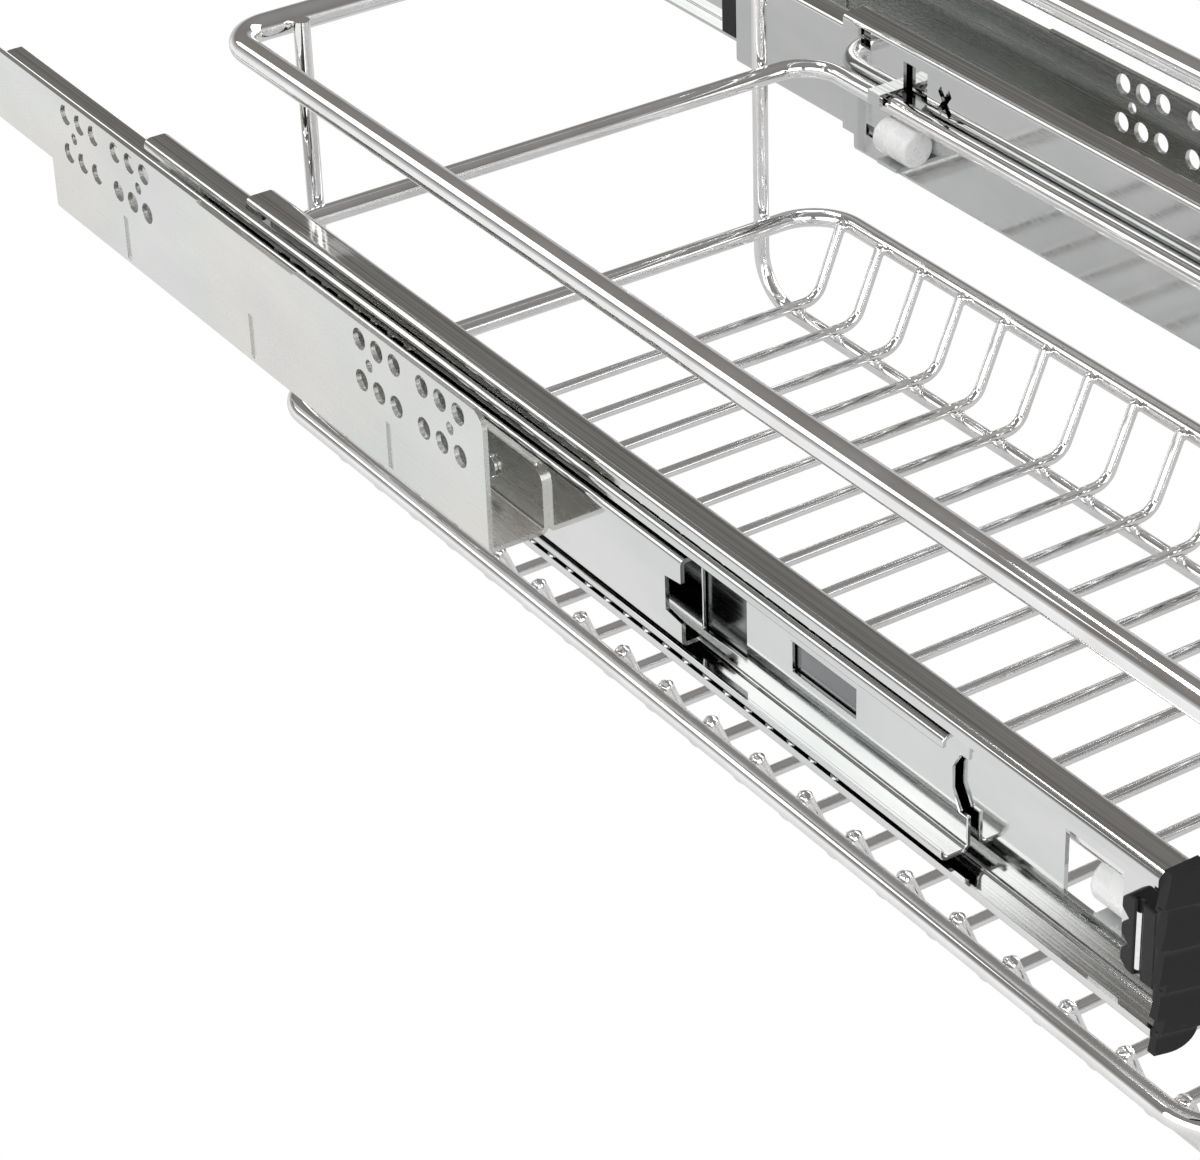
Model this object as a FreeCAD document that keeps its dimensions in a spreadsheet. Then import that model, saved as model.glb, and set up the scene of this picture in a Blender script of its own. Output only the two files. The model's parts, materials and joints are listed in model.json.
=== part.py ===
import FreeCAD, Part
import math
import os
import re
import Sketcher

# Pull-out wire basket on two ball-bearing slides. Millimetres, +Z up, the drawer pulls out towards -Y.
# Places along the slide are given as a distance forward of the rearmost hole of the cabinet brackets.
# Depths into a slide are measured from the outer face of its bracket towards the basket.

SIZES = {
    # whole object
    "overall_width": 264.0,
    # basket wires: places are taken at wire centres, insets from the outer face of the brackets
    "rim_back": 50.7,
    "rim_length": 447.0,
    "rim_inset": 30.7,
    "rim_height": 140.4,
    "rim_wire": 8.0,
    "rim_corner": 12.0,
    "frame_wire": 6.0,
    "middle_height": 82.2,
    "middle_corner": 14.0,
    "lower_inset": 30.1,
    "lower_height": 29.0,
    "lower_corner": 17.0,
    "runner_inset": 51.4,
    "runner_wire": 5.0,
    "runner_bend": 16.0,
    "post_rise": 2.0,
    "cross_wire": 3.5,
    "cross_floor_inset": 49.3,
    "cross_bend": 7.0,
    "cross_first": 27.4,
    "cross_last": 27.25,
    "cross_count": 20.0,
    "cross_rise": -1.5,
    # cabinet bracket
    "bracket_sheet": 1.5,
    "bend_inside": 0.6,
    "bracket_length": 248.0,
    "bracket_behind": 13.0,
    "bracket_bottom": 69.2,
    "bracket_top": 110.5,
    "bracket_depth": 18.5,
    "bracket_lip_top": 88.5,
    "bracket_round": 5.0,
    "bracket_step_place": 83.0,
    "bracket_step_length": 55.0,
    "bracket_step_drop": 0.8,
    "tongue_length": 39.0,
    "tongue_bottom": 86.5,
    "tongue_notch": 2.0,
    "hole_row": 105.5,
    "hole_row_step": 12.5,
    "hole_step": 9.0,
    "hole_pair": 32.0,
    "hole_front_inset": 62.0,
    "hole_size": 6.3,
    "small_hole_size": 3.6,
    "bead_first": 35.0,
    "bead_last": 49.0,
    "bead_width": 3.0,
    "bead_length": 14.0,
    "bead_depth": 0.6,
    # slide members: half heights are taken from the middle of the slide
    "slide_middle": 78.45,
    "sheet": 1.2,
    "ball": 3.5,
    "ball_play": 0.15,
    "race_run": 1.8,
    "race_drop": 1.0,
    "rail_behind": 83.0,
    "rail_length": 379.0,
    "rail_notch": 7.0,
    "rail_notch_half": 5.0,
    "rail_reach": 6.0,
    "rail_half": 12.75,
    "rivet_first": 20.0,
    "rivet_last": 25.0,
    "rivet_size": 4.0,
    "rivet_head": 6.5,
    "rivet_head_height": 1.0,
    "rivet_play": 0.05,
    "middle_back": 11.0,
    "middle_front_inset": 97.7,
    "middle_mouth": 19.3,
    "middle_depth": 28.2,
    "middle_lip": 3.2,
    "middle_front_notch": 6.0,
    "middle_window_inset": 97.5,
    "middle_window_length": 19.0,
    "middle_window_height": 24.0,
    "middle_slot_inset": 56.0,
    "middle_slot_length": 26.0,
    "middle_slot_height": 8.5,
    "profile_back": 73.0,
    "profile_front_inset": 24.7,
    "profile_mouth": 20.4,
    "profile_depth": 30.6,
    "profile_lip": 3.6,
    "profile_corner_notch": 6.0,
    "cross_opening_place": 52.0,
    "cross_opening_rise": 11.2,
    "cross_opening": 3.8,
    "square_opening_place": 12.0,
    "square_opening_rise": 18.0,
    "square_opening_length": 5.0,
    "square_opening_height": 6.0,
    "low_opening_place": 14.4,
    "low_opening_drop": 12.5,
    "low_opening_size": 4.0,
    # ball cages
    "cage_sheet": 0.6,
    "cage_hole_play": 0.3,
    "cage_mouth_play": 0.4,
    "rail_ball_inset": 0.35,
    "drawer_ball_inset": 0.95,
    "rail_cage_back": 79.0,
    "rail_cage_length": 89.0,
    "rail_cage_depth": 25.1,
    "drawer_cage_back": 150.0,
    "drawer_cage_length": 208.0,
    "drawer_cage_depth": 28.5,
    "ball_pitch": 9.0,
    # rear stop of the intermediate member
    "stop_length": 8.0,
    "stop_tongue": 11.0,
    "stop_height": 18.0,
    "stop_thickness": 0.9,
    # seats for the middle frame on each drawer profile
    "frame_gap": 1.0,
    "rear_seat": 34.0,
    "front_seat": 31.0,
    "seat_width": 10.0,
    "seat_play": 0.2,
    "front_window_length": 20.0,
    "bush_size": 12.0,
    "bush_length": 16.0,
    "bush_forward": 5.0,
    "hook_back": 6.5,
    "hook_width": 6.0,
    "rear_slot_forward": 3.3,
    "rear_slot_length": 12.0,
    "rear_slot_bottom": 77.0,
    "rear_slot_top": 96.0,
    "bush_round": 1.2,
    # cap, buffer and pin at the front of each drawer profile
    "cap_length": 21.0,
    "cap_overhang": 0.5,
    "cap_drop": 1.7,
    "cap_rib_depth": 2.0,
    "cap_rib_count": 5.0,
    "cap_round": 8.0,
    "plug_length": 1.5,
    "plug_half": 13.0,
    "plug_play": 0.3,
    "buffer_length": 11.5,
    "buffer_half": 10.5,
    "buffer_thickness": 6.0,
    "buffer_wave": 2.5,
    "pin_size": 1.8,
    "pin_bore_play": 0.1,
    "pin_inset": 2.75,
    "pin_sunk": 0.6,
}

doc = FreeCAD.newDocument("PullOutBasket")
sheet = doc.addObject("Spreadsheet::Sheet", "Sizes")
for row, (alias, value) in enumerate(SIZES.items(), start=1):
    sheet.set("A%d" % row, alias)
    sheet.set("B%d" % row, str(value))
    sheet.setAlias("B%d" % row, alias)
doc.recompute()

pieces = []


def cell(alias):
    """A size as the sheet holds it."""
    return float(sheet.get(alias))


def link(text):
    """Expression text in which every size name points at its cell."""
    return re.sub(
        r"[a-z][a-z_]*[a-z]",
        lambda found: "Sizes." + found.group(0) if found.group(0) in SIZES else found.group(0),
        text,
    )


def value(text):
    """The number that an expression comes to."""
    return float(sheet.evalExpression(link(text)))


# The object's box is centred on the origin, from the rear end of the rails to the front of the rim.
MIDDLE = "((rim_back + rim_length + rim_wire / 2 - rail_behind) / 2)"


def at_y(forward):
    """The Y of a place given as a distance forward of the rearmost bracket hole."""
    return "%s - (%s)" % (MIDDLE, forward)


def at_x(side, depth):
    """The X of a depth into the left (-1) or right (1) slide."""
    return "%d * (overall_width / 2 - (%s))" % (side, depth)


def place(thing, x, y, z):
    for axis, text in zip("xyz", (x, y, z)):
        thing.setExpression("Placement.Base." + axis, link(text))


def turn(thing, axis, degrees):
    thing.Placement = FreeCAD.Placement(FreeCAD.Vector(), FreeCAD.Rotation(FreeCAD.Vector(*axis), degrees))


def keep(thing, label):
    thing.Label = label
    pieces.append(thing)
    return thing


def body_of(label):
    body = doc.addObject("PartDesign::Body", "Body_" + label)
    if hasattr(body, "AllowCompound"):
        body.AllowCompound = True
    return keep(body, label)


def origin_part(body, role):
    return [part for part in body.Origin.OriginFeatures if part.Role == role][0]


def new_sketch(body, plane, offset="0"):
    """A sketch on one of the body's origin planes, moved along the plane's normal."""
    sketch = body.newObject("Sketcher::SketchObject", "Sketch")
    sketch.AttachmentSupport = (origin_part(body, plane), [""])
    sketch.MapMode = "FlatFace"
    sketch.setExpression("AttachmentOffset.Base.z", link(offset))
    return sketch


def pin_point(sketch, geo, point, across, up):
    """Hold one point of a sketch at a place given by two expressions."""
    index = sketch.addConstraint(Sketcher.Constraint("DistanceX", -1, 1, geo, point, 1.0))
    sketch.setExpression("Constraints[%d]" % index, link(across))
    index = sketch.addConstraint(Sketcher.Constraint("DistanceY", -1, 1, geo, point, 1.0))
    sketch.setExpression("Constraints[%d]" % index, link(up))


def add_outline(sketch, points):
    """A closed outline of straight lines through points given as expression pairs."""
    count = len(points)
    first = sketch.GeometryCount
    corners = []
    for k in range(count):
        angle = 2 * math.pi * k / count
        corners.append(FreeCAD.Vector(60 * math.cos(angle), 60 * math.sin(angle), 0))
    for k in range(count):
        sketch.addGeometry(Part.LineSegment(corners[k], corners[(k + 1) % count]))
    for k in range(count):
        sketch.addConstraint(Sketcher.Constraint("Coincident", first + k, 2, first + (k + 1) % count, 1))
    for k, (across, up) in enumerate(points):
        pin_point(sketch, first + k, 1, across, up)


def add_box(sketch, rear, front, low, high):
    """A rectangle in a sketch on the YZ plane, from a rear to a front place."""
    add_outline(sketch, [(at_y(front), low), (at_y(front), high), (at_y(rear), high), (at_y(rear), low)])


def add_circle(sketch, across, up, size):
    index = sketch.addGeometry(Part.Circle(FreeCAD.Vector(), FreeCAD.Vector(0, 0, 1), 2))
    pin_point(sketch, index, 3, across, up)
    radius = sketch.addConstraint(Sketcher.Constraint("Radius", index, 2.0))
    sketch.setExpression("Constraints[%d]" % radius, link("(%s) / 2" % size))


def pad_of(body, sketch, length, backwards=False):
    pad = body.newObject("PartDesign::Pad", "Pad")
    pad.Profile = sketch
    pad.setExpression("Length", link(length))
    pad.Reversed = backwards
    doc.recompute()
    return pad


def pad_forward(body, points, rear, length):
    """Pad an outline in X and Z from its rear end towards the front of the drawer."""
    sketch = new_sketch(body, "XZ_Plane", "-(%s)" % at_y(rear))
    add_outline(sketch, points)
    return sketch, pad_of(body, sketch, length)


def pocket_of(body, sketch, length, forwards):
    pocket = body.newObject("PartDesign::Pocket", "Pocket")
    pocket.Profile = sketch
    pocket.setExpression("Length", link(length))
    pocket.Reversed = forwards
    doc.recompute()
    return pocket


def cut_through(body, plane, fill):
    """Cut right through the body along the plane's normal, inside what fill draws in the sketch."""
    sketch = new_sketch(body, plane)
    fill(sketch)
    pocket = body.newObject("PartDesign::Pocket", "Cut")
    pocket.Profile = sketch
    pocket.Type = 1
    pocket.Midplane = True
    doc.recompute()
    return pocket


def straight_edges(base, keep_axes, spots):
    """Names of the straight edges whose two ends both lie at one of the given pairs of coordinates."""
    names = []
    for number, edge in enumerate(base.Shape.Edges, start=1):
        ends = [[vertex.Point[axis] for axis in keep_axes] for vertex in edge.Vertexes]
        if len(ends) != 2:
            continue
        for spot in spots:
            if all(abs(end[0] - spot[0]) < 1e-3 and abs(end[1] - spot[1]) < 1e-3 for end in ends):
                names.append("Edge%d" % number)
                break
    return names


def round_edges(body, base, names, radius):
    fillet = body.newObject("PartDesign::Fillet", "Bend")
    fillet.Base = (base, names)
    fillet.setExpression("Radius", link(radius))
    doc.recompute()
    return fillet


def rolled_section(label, points, rear, length, thickness, outside, inside):
    """A rolled section: a padded outline with its bends rounded outside and inside."""
    body = body_of(label)
    sketch, base = pad_forward(body, points, rear, length)
    for corners, radius in ((outside, "%s + bend_inside" % thickness), (inside, "bend_inside")):
        spots = [(sketch.getPoint(k, 1).x, sketch.getPoint(k, 1).y) for k in corners]
        base = round_edges(body, base, straight_edges(base, (0, 2), spots), radius)
    return body, base


def rod(name, size, length):
    cylinder = doc.addObject("Part::Cylinder", name)
    cylinder.setExpression("Radius", link("(%s) / 2" % size))
    cylinder.setExpression("Height", link(length))
    return cylinder


def elbow(name, size, bend):
    torus = doc.addObject("Part::Torus", name)
    torus.setExpression("Radius1", link(bend))
    torus.setExpression("Radius2", link("(%s) / 2" % size))
    torus.Angle3 = 90
    return torus


def joined(label, parts):
    fuse = doc.addObject("Part::MultiFuse", "Joined_" + label)
    fuse.Shapes = parts
    return keep(fuse, label)


# Basket: three level frames, two runners that stand on the floor, and the cross wires.
# The posts of the runners stand inside the rim and outside the middle and lower frames.
BASKET_CENTRE = "(rim_back + rim_length / 2)"
POST_HALF = "(rim_length / 2 - rim_wire / 2 - runner_wire / 2)"
FRAME_LENGTH = "(2 * (%s - runner_wire / 2 - frame_wire / 2))" % POST_HALF
RIM_WIDTH = "(overall_width - 2 * rim_inset)"
LOWER_WIDTH = "(overall_width - 2 * lower_inset)"
RUNNER_SPREAD = "(overall_width - 2 * runner_inset)"
FLOOR_STRAIGHT = "(overall_width - 2 * cross_floor_inset)"
CROSS_PITCH = "((rim_length - cross_first - cross_last) / (cross_count - 1))"
MIDDLE_WIDTH = "(overall_width - 2 * (profile_depth + frame_gap) - frame_wire)"


def wire_frame(label, width, length, height, size, corner):
    """A level frame of round wire with four rounded corners."""
    half_width = "(%s) / 2" % width
    half_length = "(%s) / 2" % length
    parts = []
    for side in (-1, 1):
        run = rod(label + "_side", size, "%s - 2 * %s" % (length, corner))
        turn(run, (1, 0, 0), 90)
        rear = at_y("%s - %s + %s" % (BASKET_CENTRE, half_length, corner))
        place(run, "%d * %s" % (side, half_width), rear, height)
        parts.append(run)
        run = rod(label + "_end", size, "%s - 2 * %s" % (width, corner))
        turn(run, (0, 1, 0), 90)
        end = at_y("%s + %d * %s" % (BASKET_CENTRE, side, half_length))
        place(run, "-(%s) + %s" % (half_width, corner), end, height)
        parts.append(run)
    for quarter, (across, back) in enumerate(((1, 1), (-1, 1), (-1, -1), (1, -1))):
        bend = elbow(label + "_corner", size, corner)
        turn(bend, (0, 0, 1), 90 * quarter)
        spot = at_y("%s - %d * (%s - %s)" % (BASKET_CENTRE, back, half_length, corner))
        place(bend, "%d * (%s - %s)" % (across, half_width, corner), spot, height)
        parts.append(bend)
    return joined(label, parts)


def runner(label, side):
    """A wire bent into a U: a floor run between a rear and a front post that rise inside the rim."""
    x = "%d * %s / 2" % (side, RUNNER_SPREAD)
    bend_height = "runner_wire / 2 + runner_bend"
    post_length = "rim_height + post_rise - (%s)" % bend_height
    down = FreeCAD.Vector(0, 0, -1)
    left = FreeCAD.Vector(-1, 0, 0)
    rearwards = FreeCAD.Rotation(FreeCAD.Vector(0, 1, 0), down, left, "XYZ")
    forwards = FreeCAD.Rotation(down, FreeCAD.Vector(0, -1, 0), left, "XYZ")
    parts = []
    for end, lie in ((-1, rearwards), (1, forwards)):
        post = rod(label + "_post", "runner_wire", post_length)
        place(post, x, at_y("%s + %d * %s" % (BASKET_CENTRE, end, POST_HALF)), bend_height)
        parts.append(post)
        bend = elbow(label + "_bend", "runner_wire", "runner_bend")
        bend.Placement = FreeCAD.Placement(FreeCAD.Vector(), lie)
        place(bend, x, at_y("%s + %d * (%s - runner_bend)" % (BASKET_CENTRE, end, POST_HALF)), bend_height)
        parts.append(bend)
    run = rod(label + "_run", "runner_wire", "2 * (%s - runner_bend)" % POST_HALF)
    turn(run, (1, 0, 0), 90)
    place(run, x, at_y("%s - (%s - runner_bend)" % (BASKET_CENTRE, POST_HALF)), "runner_wire / 2")
    parts.append(run)
    return joined(label, parts)


def cross_wires(label):
    """Floor wires that lie on the runners and rise, slanted, to the inside of the lower frame."""
    body = body_of(label)
    floor_height = "runner_wire + cross_wire / 2"
    top_x = "(%s - frame_wire - cross_wire) / 2" % LOWER_WIDTH
    top_height = "lower_height + frame_wire / 2 + cross_rise"
    floor_z = value(floor_height)
    bend = cell("cross_bend")
    straight = value(FLOOR_STRAIGHT) / 2
    first = "rim_back + cross_first"
    lean = math.radians(20)
    halves = []
    for side in (-1, 1):
        path = new_sketch(body, "XZ_Plane", "-(%s)" % at_y(first))
        start = FreeCAD.Vector(0, floor_z, 0)
        knee = FreeCAD.Vector(side * straight, floor_z, 0)
        centre = FreeCAD.Vector(side * straight, floor_z + bend, 0)
        onward = centre + FreeCAD.Vector(side * bend * math.cos(lean), -bend * math.sin(lean), 0)
        top = onward + FreeCAD.Vector(side * 20 * math.sin(lean), 20 * math.cos(lean), 0)
        circle = Part.Circle(centre, FreeCAD.Vector(0, 0, 1), bend)
        if side == 1:
            arc = Part.ArcOfCircle(circle, -math.pi / 2, -lean)
            joins = [Sketcher.Constraint("Tangent", 0, 2, 1, 1), Sketcher.Constraint("Tangent", 1, 2, 2, 1)]
        else:
            arc = Part.ArcOfCircle(circle, math.pi + lean, 3 * math.pi / 2)
            joins = [Sketcher.Constraint("Tangent", 0, 2, 1, 2), Sketcher.Constraint("Tangent", 1, 1, 2, 1)]
        path.addGeometry([Part.LineSegment(start, knee), arc, Part.LineSegment(onward, top)])
        path.addConstraint(joins)
        pin_point(path, 0, 1, "0", floor_height)
        pin_point(path, 0, 2, "%d * %s / 2" % (side, FLOOR_STRAIGHT), floor_height)
        radius = path.addConstraint(Sketcher.Constraint("Radius", 1, bend))
        path.setExpression("Constraints[%d]" % radius, link("cross_bend"))
        pin_point(path, 2, 2, "%d * %s" % (side, top_x), top_height)
        ring = new_sketch(body, "YZ_Plane")
        add_circle(ring, at_y(first), floor_height, "cross_wire")
        doc.recompute()
        pipe = body.newObject("PartDesign::AdditivePipe", "Wire")
        pipe.Profile = ring
        pipe.Spine = (path, ["Edge1", "Edge2", "Edge3"])
        doc.recompute()
        halves.append(pipe)
    row = body.newObject("PartDesign::LinearPattern", "Row")
    row.Originals = halves
    row.Direction = (origin_part(body, "Y_Axis"), [""])
    row.Reversed = True
    row.setExpression("Length", link("%s * (cross_count - 1)" % CROSS_PITCH))
    row.setExpression("Occurrences", link("cross_count"))
    body.Tip = row
    doc.recompute()
    return body


wire_frame("top_rim", RIM_WIDTH, "rim_length", "rim_height", "rim_wire", "rim_corner")
wire_frame("middle_frame", MIDDLE_WIDTH, FRAME_LENGTH, "middle_height", "frame_wire", "middle_corner")
wire_frame("lower_rim", LOWER_WIDTH, FRAME_LENGTH, "lower_height", "frame_wire", "lower_corner")
runner("left_runner", -1)
runner("right_runner", 1)
cross_wires("cross_wires")

# Half heights that follow from the ball rows between the members
BALL_ROOM = "(ball + 2 * ball_play)"
MIDDLE_HALF = "(rail_half + %s + sheet)" % BALL_ROOM
PROFILE_HALF = "(%s + %s + sheet)" % (MIDDLE_HALF, BALL_ROOM)
RAIL_ROW = "(rail_half + %s / 2)" % BALL_ROOM
DRAWER_ROW = "(%s + %s / 2)" % (MIDDLE_HALF, BALL_ROOM)
RIM_FRONT = "(rim_back + rim_length)"
BRACKET_FRONT = "(bracket_length - bracket_behind)"
FRONT_CLUSTER = "(%s - hole_front_inset)" % BRACKET_FRONT
BEAD_PITCH = "((%s - bead_first - bead_last) / 2)" % BRACKET_FRONT
RIVET_PITCH = "((%s - rivet_first - rivet_last) / 2)" % BRACKET_FRONT
PROFILE_FRONT = "(%s - profile_front_inset)" % RIM_FRONT
PROFILE_LENGTH = "(%s - profile_back)" % PROFILE_FRONT
MIDDLE_FRONT = "(%s - middle_front_inset)" % RIM_FRONT
MIDDLE_LENGTH = "(%s - middle_back)" % MIDDLE_FRONT
PROFILE_WEB = "(profile_depth - sheet)"
SEATS = (
    ("rear", "(profile_back + rear_seat)"),
    ("front", "(%s - front_seat)" % PROFILE_FRONT),
)
BUSH_DEPTH = "(profile_depth + bush_size / 2)"
WIRE_DEPTH = "(profile_depth + frame_gap + frame_wire / 2)"
BUSH_DROP = "sqrt(((frame_wire + bush_size) / 2) ^ 2 - (%s - %s) ^ 2)" % (BUSH_DEPTH, WIRE_DEPTH)
BUSH_HEIGHT = "(middle_height - %s)" % BUSH_DROP


def above(half, more="0"):
    return "slide_middle + %s + (%s)" % (half, more)


def below(half, more="0"):
    return "slide_middle - %s - (%s)" % (half, more)


def section(side, points):
    return [(at_x(side, depth), height) for depth, height in points]


def rivet_circles(sketch):
    for rivet in range(3):
        spot = at_y("rivet_first + %d * %s" % (rivet, RIVET_PITCH))
        add_circle(sketch, spot, "slide_middle", "rivet_size + 2 * rivet_play")


def cabinet_bracket(label, side):
    """The perforated plate screwed to the cabinet: a J in section, with a tongue at its rear."""
    points = section(side, [
        ("0", "bracket_bottom"),
        ("0", "bracket_top"),
        ("bracket_sheet", "bracket_top"),
        ("bracket_sheet", "bracket_bottom + bracket_sheet"),
        ("bracket_depth - bracket_sheet", "bracket_bottom + bracket_sheet"),
        ("bracket_depth - bracket_sheet", "bracket_lip_top"),
        ("bracket_depth", "bracket_lip_top"),
        ("bracket_depth", "bracket_bottom"),
    ])
    body, base = rolled_section(label, points, "-bracket_behind", "bracket_length", "bracket_sheet",
                                (0, 7), (3, 4))
    front = value(at_y("bracket_length - bracket_behind"))
    corners = [(front, cell("bracket_top")), (front, cell("bracket_lip_top"))]
    round_edges(body, base, straight_edges(base, (1, 2), corners), "bracket_round")
    tongue = section(side, [
        ("0", "tongue_bottom"),
        ("0", "bracket_top"),
        ("bracket_sheet", "bracket_top"),
        ("bracket_sheet", "tongue_bottom"),
    ])
    pad_forward(body, tongue, "-bracket_behind - tongue_length", "tongue_length + 1")

    def openings(sketch):
        for cluster in ("0", FRONT_CLUSTER):
            for pair in ("0", "hole_pair"):
                for step in range(3):
                    spot = at_y("%s + %s + %d * hole_step" % (cluster, pair, step))
                    add_circle(sketch, spot, "hole_row", "hole_size")
                    add_circle(sketch, spot, "hole_row - hole_row_step", "hole_size")
            for start in ("hole_step / 2", "hole_pair + 1.5 * hole_step"):
                spot = at_y("%s + %s" % (cluster, start))
                add_circle(sketch, spot, "hole_row - hole_row_step / 2", "small_hole_size")
        step_end = "bracket_step_place + bracket_step_length"
        add_box(sketch, "bracket_step_place", step_end, "bracket_top - bracket_step_drop", "bracket_top + 1")
        tail = "-bracket_behind - tongue_length"
        notch = "(bracket_top + tongue_bottom) / 2"
        add_outline(sketch, [
            (at_y(tail + " - 1"), notch + " - tongue_notch - 1"),
            (at_y(tail + " + tongue_notch"), notch),
            (at_y(tail + " - 1"), notch + " + tongue_notch + 1"),
        ])

    cut_through(body, "YZ_Plane", openings)
    lip = new_sketch(body, "YZ_Plane", at_x(side, "bracket_depth"))
    rivet_circles(lip)
    pocket_of(body, lip, "2 * bracket_sheet", side == 1)
    low = "bracket_bottom + bracket_sheet + bend_inside + 0.5"

    def bead_boxes(sketch):
        for bead in range(3):
            spot = "bead_first + %d * %s" % (bead, BEAD_PITCH)
            add_box(sketch, spot + " - bead_width / 2", spot + " + bead_width / 2",
                    low, low + " + bead_length")

    outer = new_sketch(body, "YZ_Plane", at_x(side, "0"))
    bead_boxes(outer)
    pocket_of(body, outer, "bead_depth", side == -1)
    inner = new_sketch(body, "YZ_Plane", at_x(side, "bracket_sheet"))
    bead_boxes(inner)
    pad_of(body, inner, "bead_depth", side == 1)
    return body


def cabinet_rail(label, side):
    """The smallest member: a channel open to the basket, back to back with the bracket's lip."""
    rear_face, mouth = "bracket_depth", "bracket_depth + rail_reach"
    points = section(side, [
        (rear_face, below("rail_half")),
        (rear_face, above("rail_half")),
        (mouth, above("rail_half")),
        (mouth, above("rail_half", "-sheet")),
        (rear_face + " + sheet", above("rail_half", "-sheet")),
        (rear_face + " + sheet", below("rail_half", "-sheet")),
        (mouth, below("rail_half", "-sheet")),
        (mouth, below("rail_half")),
    ])
    body, base = rolled_section(label, points, "-rail_behind", "rail_length", "sheet", (0, 1), (4, 5))
    cut_through(body, "YZ_Plane", rivet_circles)
    front = "rail_length - rail_behind"

    def end_notch(sketch):
        add_outline(sketch, [
            (at_y(front + " + 1"), "slide_middle - rail_notch_half - 1"),
            (at_y(front + " - rail_notch"), "slide_middle - rail_notch_half"),
            (at_y(front + " - rail_notch"), "slide_middle + rail_notch_half"),
            (at_y(front + " + 1"), "slide_middle + rail_notch_half + 1"),
        ])

    cut_through(body, "YZ_Plane", end_notch)
    return body


def rail_rivets(label, side):
    """Three rivets through the bracket's lip and the rail's web, with a head on each side."""
    parts = []
    toward_basket = 90 if side == -1 else -90
    outer_head = "bracket_depth - bracket_sheet - rivet_head_height"
    inner_head = "bracket_depth + sheet"
    for rivet in range(3):
        spot = at_y("rivet_first + %d * %s" % (rivet, RIVET_PITCH))
        solids = []
        for size, length, start in (
            ("rivet_size", "bracket_sheet + sheet + 2 * rivet_head_height", outer_head),
            ("rivet_head", "rivet_head_height", outer_head),
            ("rivet_head", "rivet_head_height", inner_head),
        ):
            solid = rod("RivetPart", size, length)
            turn(solid, (0, 1, 0), toward_basket)
            place(solid, at_x(side, start), spot, "slide_middle")
            solids.append(solid)
        whole = doc.addObject("Part::MultiFuse", "Rivet")
        whole.Shapes = solids
        parts.append(whole)
    group = doc.addObject("Part::Compound", "Rivets")
    group.Links = parts
    return keep(group, label)


# The races beside the flat of each flange: how steep they lean, and where their inner faces lie
RACE_LEAN = "(race_drop / race_run)"
RACE_OFFSET = "(sheet * sqrt(race_run ^ 2 + race_drop ^ 2) / race_run)"
INNER_DROP = "(race_drop - sheet * %s + %s)" % (RACE_LEAN, RACE_OFFSET)
INNER_RUN = "((race_drop + %s - sheet) / %s)" % (RACE_OFFSET, RACE_LEAN)


def lipped_channel(label, side, mouth, depth, half, lip, rear, length):
    """A channel open to the cabinet side, its flanges ending in lips that hold the ball rows."""
    inner_face = "%s + sheet" % mouth
    web_face = "%s - sheet" % depth
    upper = [
        (depth, above(half, "-race_drop")),
        ("%s - race_run" % depth, above(half)),
        ("%s + race_run" % mouth, above(half)),
        (mouth, above(half, "-race_drop")),
        (mouth, above(half, "-%s" % lip)),
        (inner_face, above(half, "-%s" % lip)),
        (inner_face, above(half, "-%s" % INNER_DROP)),
        ("%s + %s" % (mouth, INNER_RUN), above(half, "-sheet")),
        ("%s - %s" % (depth, INNER_RUN), above(half, "-sheet")),
        (web_face, above(half, "-%s" % INNER_DROP)),
    ]
    lower = [(across, height.replace("slide_middle + ", "slide_middle - ").replace("(-", "("))
             for across, height in upper]
    outside = [0, 1, 2, 3, 16, 17, 18, 19]
    inside = [6, 7, 8, 9, 10, 11, 12, 13]
    points = section(side, upper + lower[::-1])
    body, base = rolled_section(label, points, rear, length, "sheet", outside, inside)
    return body


def intermediate(label, side):
    """The middle member, with a window in front of the cabinet rail's end, a slot and a notched front end."""
    body = lipped_channel(label, side, "middle_mouth", "middle_depth", MIDDLE_HALF, "middle_lip",
                          "middle_back", MIDDLE_LENGTH)

    def openings(sketch):
        half = "middle_window_height / 2"
        centre = "(%s - middle_window_inset)" % MIDDLE_FRONT
        add_box(sketch, centre + " - middle_window_length / 2", centre + " + middle_window_length / 2",
                "slide_middle - " + half, "slide_middle + " + half)
        centre = "(%s - middle_slot_inset)" % MIDDLE_FRONT
        add_box(sketch, centre + " - middle_slot_length / 2", centre + " + middle_slot_length / 2",
                "slide_middle - middle_slot_height / 2", "slide_middle + middle_slot_height / 2")
        front = MIDDLE_FRONT
        add_outline(sketch, [
            (at_y(front + " + 1"), "slide_middle - 8"),
            (at_y(front + " - middle_front_notch / 2"), "slide_middle - 8"),
            (at_y(front + " - middle_front_notch"), "slide_middle - 3"),
            (at_y(front + " - middle_front_notch"), "slide_middle + 3"),
            (at_y(front + " - middle_front_notch / 2"), "slide_middle + 8"),
            (at_y(front + " + 1"), "slide_middle + 8"),
        ])

    cut_through(body, "YZ_Plane", openings)
    return body


def rear_stop(label, side):
    """The black stop clipped into the rear end of the intermediate member, sticking out behind it."""
    body = body_of(label)
    low, high = "slide_middle - stop_height / 2", "slide_middle + stop_height / 2"
    inside = "middle_depth - sheet"
    near = inside + " - stop_thickness"
    tongue = section(side, [(near, low), (near, high), (inside, high), (inside, low)])
    pad_forward(body, tongue, "middle_back - 1", "stop_tongue + 1")
    block = section(side, [(near, low), (near, high), ("middle_depth", high), ("middle_depth", low)])
    pad_forward(body, block, "middle_back - stop_length", "stop_length")
    return body


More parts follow.
